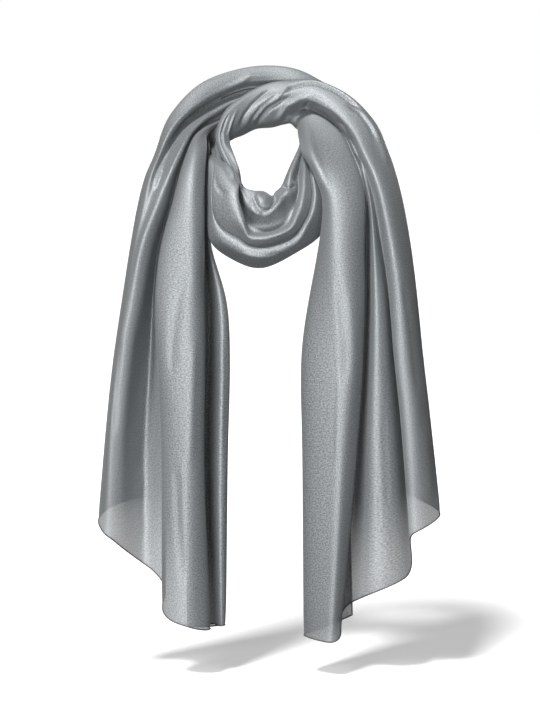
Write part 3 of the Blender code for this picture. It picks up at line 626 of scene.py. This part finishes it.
def round_across(points):
    """A fine grid across each section, on rounded curves through its folds, and the column of each fold."""
    count = points.shape[1]
    before = np.concatenate((points[:, :1], points[:, :-1]), axis=1)
    after = np.concatenate((points[:, 1:], points[:, -1:]), axis=1)
    chord = after - before
    size = np.linalg.norm(chord, axis=2, keepdims=True)
    heading = chord / size
    columns = []
    fold_columns = []
    for fold in range(count - 1):
        fold_columns.append(len(columns))
        length = np.linalg.norm(points[:, fold + 1] - points[:, fold], axis=1, keepdims=True)
        leave = heading[:, fold] * np.minimum(length, size[:, fold] / 2)
        arrive = heading[:, fold + 1] * np.minimum(length, size[:, fold + 1] / 2)
        steps = max(2, int(np.percentile(length, 80) / STEP_ACROSS) + 1)
        for step in range(steps):
            t = step / steps
            value = points[:, fold] * (1 + 2 * t) * (1 - t) ** 2
            value = value + leave * t * (1 - t) ** 2
            value = value + points[:, fold + 1] * t ** 2 * (3 - 2 * t)
            value = value + arrive * t ** 2 * (t - 1)
            columns.append(value)
    fold_columns.append(len(columns))
    columns.append(points[:, -1])
    return np.stack(columns, axis=1), fold_columns


def relaxed(grid, share):
    """Evens the grid out, more in the rows with a larger share, with its edges kept where they are."""
    share = share[:, None, None] / 2
    for _ in range(RELAX_PASSES):
        mean = (grid[:-2, 1:-1] + grid[2:, 1:-1] + grid[1:-1, :-2] + grid[1:-1, 2:]) / 4
        grid[1:-1, 1:-1] += (mean - grid[1:-1, 1:-1]) * share[1:-1]
        for end in (0, -1):
            grid[end, 1:-1] += ((grid[end, :-2] + grid[end, 2:]) / 2 - grid[end, 1:-1]) * share[end]
    return grid


def even_share(at, distance, rungs):
    """How much each row is evened out: little round the neck, and fully from the chest down."""
    if not hangs(rungs):
        return np.full(len(at), NECK_SHARE)
    shoulder = distance_to("shoulder", rungs, distance)
    chest = distance_to("chest", rungs, distance)
    return NECK_SHARE + (1 - NECK_SHARE) * smooth_step((at - shoulder) / (chest - shoulder))


def squares_of(grid):
    """Places of the grid on the layout, in squares across and down."""
    return grid[:, :, 0] / SQUARE + MIDDLE, NAPE - grid[:, :, 2] / SQUARE


def nearest_on_line(across, down, line):
    """Distance to a line of layout points, in squares, and how far along it the nearest place is, 0 to 1."""
    line = np.asarray(line, float)
    lengths = np.linalg.norm(np.diff(line, axis=0), axis=1)
    passed = np.concatenate(([0.0], np.cumsum(lengths)))
    best = np.full(across.shape, 1e9)
    along = np.zeros(across.shape)
    for index, length in enumerate(lengths):
        way = (line[index + 1] - line[index]) / length
        place = (across - line[index, 0]) * way[0] + (down - line[index, 1]) * way[1]
        place = np.clip(place, 0.0, length)
        away = np.hypot(across - line[index, 0] - way[0] * place, down - line[index, 1] - way[1] * place)
        nearer = away < best
        best = np.where(nearer, away, best)
        along = np.where(nearer, (passed[index] + place) / passed[-1], along)
    return best, along


def creased(grid, fold_columns, names, creases):
    """Raises or sinks soft lines on the cloth, each on its own folds and fading out at both ends."""
    for name, first, last, lift, width, line in creases:
        low = fold_columns[names.index(first)]
        high = fold_columns[names.index(last)] + 1
        normal = sheet_normals(grid)[:, low:high]
        across, down = squares_of(grid[:, low:high])
        away, along = nearest_on_line(across, down, line)
        facing = normal[:, :, 1][away < width * 2].sum()
        if facing > 0:
            normal = -normal
        ends = smooth_step(along / CREASE_FADE) * smooth_step((1 - along) / CREASE_FADE)
        columns = np.arange(high - low)
        sides = smooth_step(columns / CREASE_SIDE) * smooth_step((high - low - 1 - columns) / CREASE_SIDE)
        raised = lift * MM * ends * sides * np.exp(-((away / width) ** 2))
        grid[:, low:high] += normal * raised[:, :, None]
    return grid


# Pieces

def add_piece(name, points, faces, material):
    """A smooth piece of one material."""
    mesh = bpy.data.meshes.new(name)
    mesh.from_pydata(points, [], faces)
    mesh.shade_smooth()
    mesh.materials.append(material)
    piece = bpy.data.objects.new(name, mesh)
    bpy.context.scene.collection.objects.link(piece)
    return piece


def cloth_measure(grid):
    """How far each column is across the cloth, evened over its length, and each row along it."""
    steps = np.linalg.norm(np.diff(grid, axis=0), axis=2).mean(1)
    along = np.concatenate(([0.0], np.cumsum(steps)))
    rows_share = np.gradient(along) / np.gradient(along).sum()
    widths = np.linalg.norm(np.diff(grid, axis=1), axis=2)
    across = np.concatenate(([0.0], np.cumsum((widths * rows_share[:, None]).sum(0))))
    return across, along


def cloth_object(name, grid, material, hem):
    """The grid as a smooth sheet, with a map of how far each place is across it and up from the cut end."""
    rows, columns = grid.shape[:2]
    a = (np.arange(rows - 1)[:, None] * columns + np.arange(columns - 1)[None, :]).ravel()
    faces = np.column_stack((a, a + columns, a + columns + 1, a + 1))
    cloth = add_piece(name, grid.reshape(-1, 3).tolist(), faces.tolist(), material)
    across, along = cloth_measure(grid)
    # Stretches without a cut end start past the reach of the painted light
    up = along[-1] - along if hem else along + HEM_LIGHT_REACH
    flat = np.stack(np.broadcast_arrays(across[None, :], up[:, None]), axis=2).reshape(-1, 2)
    layer = cloth.data.uv_layers.new(name="cloth")
    corners = np.empty(len(cloth.data.loops), np.int32)
    cloth.data.loops.foreach_get("vertex_index", corners)
    layer.uv.foreach_set("vector", flat[corners].astype(np.float32).ravel())
    return cloth, (float(across[-1]), float(along[-1]))


def tube(name, path, normals, radius, material):
    """A thin closed roll of cloth along a path."""
    path = np.asarray(path)
    run = np.gradient(path, axis=0)
    run /= np.linalg.norm(run, axis=1, keepdims=True)
    side = np.cross(run, normals)
    side /= np.linalg.norm(side, axis=1, keepdims=True)
    up = np.cross(side, run)
    turn = np.linspace(0.0, 2 * np.pi, HEM_SIDES, endpoint=False)
    ring = side[:, None] * np.cos(turn)[None, :, None] + up[:, None] * np.sin(turn)[None, :, None]
    points = path[:, None] + ring * radius
    count = len(path)
    faces = []
    for i in range(count - 1):
        for j in range(HEM_SIDES):
            k = (j + 1) % HEM_SIDES
            low = i * HEM_SIDES
            faces.append((low + j, low + k, low + HEM_SIDES + k, low + HEM_SIDES + j))
    faces.append(tuple(range(HEM_SIDES - 1, -1, -1)))
    faces.append(tuple((count - 1) * HEM_SIDES + j for j in range(HEM_SIDES)))
    return add_piece(name, points.reshape(-1, 3).tolist(), faces, material)


def edge_tubes(name, grid, material, hem):
    """Rolled edges down both selvedges, and along the cut end where the stretch has one."""
    normal = sheet_normals(grid)
    if hem:
        path = np.concatenate((grid[:-1, 0], grid[-1, :], grid[-2::-1, -1]))
        facing = np.concatenate((normal[:-1, 0], normal[-1, :], normal[-2::-1, -1]))
        return [tube(name, path, facing, HEM_RADIUS, material)]
    first = tube(name + "_left", grid[:, 0], normal[:, 0], HEM_RADIUS, material)
    second = tube(name + "_right", grid[:, -1], normal[:, -1], HEM_RADIUS, material)
    return [first, second]


def hem_stitches(name, grid, material):
    """Small running stitches just above the rolled edge of the cut end."""
    normal = sheet_normals(grid)[-1]
    inward = grid[-2] - grid[-1]
    inward /= np.linalg.norm(inward, axis=1, keepdims=True)
    line = grid[-1] + inward * STITCH_INSET
    passed = np.concatenate(([0.0], np.cumsum(np.linalg.norm(np.diff(line, axis=0), axis=1))))
    points = []
    faces = []
    for start in np.arange(STITCH_STEP, passed[-1] - STITCH_STEP, STITCH_STEP):
        ends = []
        for at in (start, start + STITCH_LENGTH):
            ends.append(np.array([np.interp(at, passed, line[:, axis]) for axis in range(3)]))
        middle = (ends[0] + ends[1]) / 2
        up = np.array([np.interp(start, passed, normal[:, axis]) for axis in range(3)])
        side = np.cross(ends[1] - ends[0], up)
        side *= STITCH_WIDTH / np.linalg.norm(side)
        first = len(points)
        points += [ends[0], middle + side, ends[1], middle - side]
        points += [middle + up * STITCH_WIDTH, middle - up * STITCH_WIDTH]
        for a in range(4):
            b = (a + 1) % 4
            faces.append((first + a, first + b, first + 4))
            faces.append((first + b, first + a, first + 5))
    return add_piece(name, [tuple(point) for point in points], faces, material)


# Materials

def new_material(name):
    """A new material, with its nodes and its links."""
    material = bpy.data.materials.new(name)
    material.use_nodes = True
    return material, material.node_tree.nodes, material.node_tree.links


def weave_group():
    """Satin weave: fine flecks across the cloth, with long soft slubs, as a mask and a height."""
    group = bpy.data.node_groups.new("satin weave", "ShaderNodeTree")
    size = group.interface.new_socket("Fleck Size", in_out="INPUT", socket_type="NodeSocketFloat")
    size.default_value = FLECK_SIZE
    group.interface.new_socket("Fleck", in_out="OUTPUT", socket_type="NodeSocketFloat")
    group.interface.new_socket("Slub", in_out="OUTPUT", socket_type="NodeSocketFloat")
    group.interface.new_socket("Height", in_out="OUTPUT", socket_type="NodeSocketFloat")
    nodes = group.nodes
    links = group.links
    enter = nodes.new("NodeGroupInput")
    leave = nodes.new("NodeGroupOutput")
    place = nodes.new("ShaderNodeUVMap")
    place.uv_map = "cloth"
    scale = nodes.new("ShaderNodeMath")
    scale.operation = "DIVIDE"
    scale.inputs[0].default_value = 1.0
    links.new(enter.outputs["Fleck Size"], scale.inputs[1])
    fleck = nodes.new("ShaderNodeTexNoise")
    fleck.inputs["Detail"].default_value = 3.0
    fleck.inputs["Roughness"].default_value = 0.75
    links.new(place.outputs["UV"], fleck.inputs["Vector"])
    links.new(scale.outputs[0], fleck.inputs["Scale"])
    stretch = nodes.new("ShaderNodeMapping")
    stretch.inputs["Scale"].default_value = SLUB_STRETCH
    links.new(place.outputs["UV"], stretch.inputs["Vector"])
    slub = nodes.new("ShaderNodeTexNoise")
    slub.inputs["Scale"].default_value = 1.0
    slub.inputs["Detail"].default_value = 2.0
    links.new(stretch.outputs["Vector"], slub.inputs["Vector"])
    total = nodes.new("ShaderNodeMath")
    total.operation = "MULTIPLY_ADD"
    total.inputs[1].default_value = SLUB_SHARE
    links.new(slub.outputs["Fac"], total.inputs[0])
    links.new(fleck.outputs["Fac"], total.inputs[2])
    links.new(fleck.outputs["Fac"], leave.inputs["Fleck"])
    links.new(slub.outputs["Fac"], leave.inputs["Slub"])
    links.new(total.outputs[0], leave.inputs["Height"])
    return group


def satin_material(weave):
    """Satin whose colour, gloss and surface follow the weave, with a little light coming through, and
    painted light near the cut end, where it is made more see-through.
    """
    material, nodes, links = new_material("silver silk")
    shader = nodes["Principled BSDF"]
    shader.inputs["Metallic"].default_value = SILK_METAL
    shader.inputs["Sheen Weight"].default_value = 0.15
    shader.inputs["Sheen Roughness"].default_value = 0.4
    pattern = nodes.new("ShaderNodeGroup")
    pattern.node_tree = weave
    pattern.inputs["Fleck Size"].default_value = FLECK_SIZE
    tint = nodes.new("ShaderNodeValToRGB")
    tint.color_ramp.elements[0].position = FLECK_DARK_AT
    tint.color_ramp.elements[0].color = SILK_DARK
    tint.color_ramp.elements[1].position = FLECK_LIGHT_AT
    tint.color_ramp.elements[1].color = SILK_LIGHT
    links.new(pattern.outputs["Fleck"], tint.inputs["Fac"])
    links.new(tint.outputs["Color"], shader.inputs["Base Color"])
    gloss = nodes.new("ShaderNodeMapRange")
    gloss.inputs["To Min"].default_value = SILK_ROUGHNESS - GLOSS_SWING
    gloss.inputs["To Max"].default_value = SILK_ROUGHNESS + GLOSS_SWING
    links.new(pattern.outputs["Slub"], gloss.inputs["Value"])
    links.new(gloss.outputs["Result"], shader.inputs["Roughness"])
    bump = nodes.new("ShaderNodeBump")
    bump.inputs["Strength"].default_value = 0.6
    bump.inputs["Distance"].default_value = WEAVE_RELIEF
    links.new(pattern.outputs["Height"], bump.inputs["Height"])
    links.new(bump.outputs["Normal"], shader.inputs["Normal"])
    place = nodes.new("ShaderNodeUVMap")
    place.uv_map = "cloth"
    split = nodes.new("ShaderNodeSeparateXYZ")
    links.new(place.outputs["UV"], split.inputs["Vector"])
    # Painted light: more see-through towards the cut end, so the pale surround shows through
    hem_light_mask = nodes.new("ShaderNodeMapRange")
    hem_light_mask.interpolation_type = "SMOOTHSTEP"
    hem_light_mask.inputs["From Min"].default_value = 0.0
    hem_light_mask.inputs["From Max"].default_value = HEM_LIGHT_REACH
    hem_light_mask.inputs["To Min"].default_value = 1.0 - HEM_LIGHT_SHEER
    hem_light_mask.inputs["To Max"].default_value = 1.0
    links.new(split.outputs["Y"], hem_light_mask.inputs["Value"])
    links.new(hem_light_mask.outputs["Result"], shader.inputs["Alpha"])
    glow = nodes.new("ShaderNodeBsdfTranslucent")
    glow.inputs["Color"].default_value = SILK_LIGHT
    mix = nodes.new("ShaderNodeMixShader")
    mix.inputs["Fac"].default_value = SEE_THROUGH
    links.new(shader.outputs["BSDF"], mix.inputs[1])
    links.new(glow.outputs["BSDF"], mix.inputs[2])
    links.new(mix.outputs["Shader"], nodes["Material Output"].inputs["Surface"])
    return material


def hem_material():
    """The rolled edge of the same silk, duller, painted near-black: painted shade for the dark line along
    the edge.
    """
    material, nodes, links = new_material("rolled hem")
    shader = nodes["Principled BSDF"]
    # Painted shade along the rolled edge
    shader.inputs["Base Color"].default_value = HEM_SHADE_COLOUR
    shader.inputs["Roughness"].default_value = 0.55
    grain = nodes.new("ShaderNodeTexNoise")
    grain.inputs["Scale"].default_value = HEM_GRAIN
    place = nodes.new("ShaderNodeTexCoord")
    links.new(place.outputs["Object"], grain.inputs["Vector"])
    bump = nodes.new("ShaderNodeBump")
    bump.inputs["Strength"].default_value = 0.3
    bump.inputs["Distance"].default_value = HEM_RELIEF
    links.new(grain.outputs["Fac"], bump.inputs["Height"])
    links.new(bump.outputs["Normal"], shader.inputs["Normal"])
    return material


def thread_material():
    """Fine silk thread, a little paler than the rolled edge, with a twist along it."""
    material, nodes, links = new_material("hem thread")
    shader = nodes["Principled BSDF"]
    shader.inputs["Base Color"].default_value = THREAD_COLOUR
    shader.inputs["Roughness"].default_value = 0.45
    place = nodes.new("ShaderNodeTexCoord")
    twist = nodes.new("ShaderNodeTexWave")
    twist.inputs["Scale"].default_value = THREAD_TWIST
    twist.inputs["Distortion"].default_value = 1.0
    links.new(place.outputs["Object"], twist.inputs["Vector"])
    bump = nodes.new("ShaderNodeBump")
    bump.inputs["Strength"].default_value = 0.3
    bump.inputs["Distance"].default_value = THREAD_RELIEF
    links.new(twist.outputs["Fac"], bump.inputs["Height"])
    links.new(bump.outputs["Normal"], shader.inputs["Normal"])
    return material


# The scarf

def cloth_grid(points, table, share, creases):
    """The fine grid of one stretch, evened out and creased."""
    grid, fold_columns = round_across(points)
    grid = relaxed(grid, share)
    names = [row[0] for row in table]
    return creased(grid, fold_columns, names, creases)


def finish_stretch(name, grid, nodes, silk, hem_silk, thread, hem):
    """One stretch of cloth with its rolled edges, standing for its solids."""
    cloth, flat = cloth_object(name, grid, silk, hem)
    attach(cloth, "root")
    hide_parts(*nodes)
    edges = edge_tubes(name + "_hem", grid, hem_silk, hem)
    if hem:
        edges.append(hem_stitches(name + "_stitches", grid, thread))
    for edge in edges:
        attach(edge, "root")


def build_cloth():
    """The three stretches of cloth, each with the solids that it stands for; what each rests on is listed
    but not used.
    """
    silk = satin_material(weave_group())
    hem_silk = hem_material()
    thread = thread_material()
    stretches = (
        ("left_tail_cloth", LEFT_RUNGS, left_points, LEFT_ACROSS, LEFT_CREASES,
         ["left_tail"], ["neck_roll"]),
        ("right_tail_cloth", RIGHT_RUNGS, right_points, RIGHT_ACROSS, RIGHT_CREASES,
         ["neck_roll", "right_tail"], ["left_tail"]),
        ("front_loop_cloth", LOOP_RUNGS, loop_points, LOOP_ACROSS, LOOP_CREASES,
         ["front_loop"], ["neck_roll"]),
    )
    for name, rungs, fold_points, table, creases, nodes, rests_on in stretches:
        distance = rung_numbers(rungs)[1]
        at = stations(distance, rungs)
        share = even_share(at, distance, rungs)
        grid = cloth_grid(fold_points(at), table, share, creases)
        finish_stretch(name, grid, nodes, silk, hem_silk, thread, hangs(rungs))


# Camera, lights and floor

def layout_point(across, down, depth):
    """A place in metres from squares on the layout and a depth."""
    return ((across - MIDDLE) * SQUARE, depth, (NAPE - down) * SQUARE)


def add_camera():
    """A long lens, a little above the scarf, that takes in the whole layout."""
    aim = np.array(layout_point(*PICTURE_MIDDLE, PICTURE_DEPTH))
    rise = np.radians(CAMERA_RISE)
    away = np.array((0.0, -np.cos(rise), np.sin(rise))) * CAMERA_AWAY
    data = bpy.data.cameras.new("camera")
    data.sensor_width = SENSOR
    data.lens = SENSOR * CAMERA_AWAY / (PICTURE_SQUARES * SQUARE)
    camera = bpy.data.objects.new("camera", data)
    camera.location = aim + away
    camera.rotation_euler = (np.pi / 2 - rise, 0.0, 0.0)
    bpy.context.scene.collection.objects.link(camera)
    bpy.context.scene.camera = camera


def add_light(name, place, aim, size, power):
    """A round soft light that faces its aim."""
    data = bpy.data.lights.new(name, "AREA")
    data.shape = "DISK"
    data.size = size
    data.energy = power
    light = bpy.data.objects.new(name, data)
    light.location = place
    way = np.array(aim) - np.array(place)
    light.rotation_euler = Vector(way).to_track_quat("-Z", "Y").to_euler()
    bpy.context.scene.collection.objects.link(light)


def add_studio():
    """A pale floor below the hems, a bright surround, a sun, and soft lights in front and behind."""
    floor_level = (NAPE - FLOOR_SQUARE) * SQUARE + PICTURE_DEPTH * np.sin(np.radians(CAMERA_RISE))
    bpy.ops.mesh.primitive_plane_add(size=FLOOR_SIZE, location=(0.0, 0.0, floor_level))
    floor = bpy.context.object
    floor.name = "floor"
    material, nodes, links = new_material("pale floor")
    shader = nodes["Principled BSDF"]
    seen = nodes.new("ShaderNodeLightPath")
    tint = nodes.new("ShaderNodeMix")
    tint.data_type = "RGBA"
    tint.inputs["A"].default_value = FLOOR_BOUNCE
    tint.inputs["B"].default_value = FLOOR_COLOUR
    links.new(seen.outputs["Is Camera Ray"], tint.inputs["Factor"])
    links.new(tint.outputs["Result"], shader.inputs["Base Color"])
    glow = nodes.new("ShaderNodeMapRange")
    glow.inputs["To Min"].default_value = 0.0
    glow.inputs["To Max"].default_value = FLOOR_GLOW
    links.new(seen.outputs["Is Camera Ray"], glow.inputs["Value"])
    links.new(glow.outputs["Result"], shader.inputs["Emission Color"])
    shader.inputs["Emission Strength"].default_value = 1.0
    shader.inputs["Roughness"].default_value = 0.9
    shader.inputs["Specular IOR Level"].default_value = 0.0
    floor.data.materials.append(material)
    add_surround()
    add_sun()
    for name, place, aim, size, power in LIGHTS:
        add_light(name, place, aim, size, power)
    bpy.context.scene.view_settings.view_transform = "Standard"


def add_surround():
    """White to the eye, and dimmer as a light, so that the folds keep their depth."""
    world = bpy.data.worlds.new("studio")
    world.use_nodes = True
    nodes = world.node_tree.nodes
    links = world.node_tree.links
    backdrop = nodes["Background"]
    backdrop.inputs["Color"].default_value = (1.0, 1.0, 1.0, 1.0)
    seen = nodes.new("ShaderNodeLightPath")
    strength = nodes.new("ShaderNodeMapRange")
    strength.inputs["To Min"].default_value = ROOM_LIGHT
    strength.inputs["To Max"].default_value = BACKDROP_LIGHT
    links.new(seen.outputs["Is Camera Ray"], strength.inputs["Value"])
    links.new(strength.outputs["Result"], backdrop.inputs["Strength"])
    bpy.context.scene.world = world


def add_sun():
    """The main light, high at the front left, whose soft shadows fall back and to the right."""
    data = bpy.data.lights.new("sun", "SUN")
    data.energy = SUN_STRENGTH
    data.angle = np.radians(SUN_SPREAD)
    sun = bpy.data.objects.new("sun", data)
    rise = np.radians(SUN_RISE)
    left = np.radians(SUN_LEFT)
    way = Vector((np.sin(left) * np.cos(rise), np.cos(left) * np.cos(rise), -np.sin(rise)))
    sun.rotation_euler = way.to_track_quat("-Z", "Y").to_euler()
    bpy.context.scene.collection.objects.link(sun)


def main():
    """The solids, the camera, the looks and the studio."""
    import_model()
    add_camera()
    build_cloth()
    add_studio()


main()
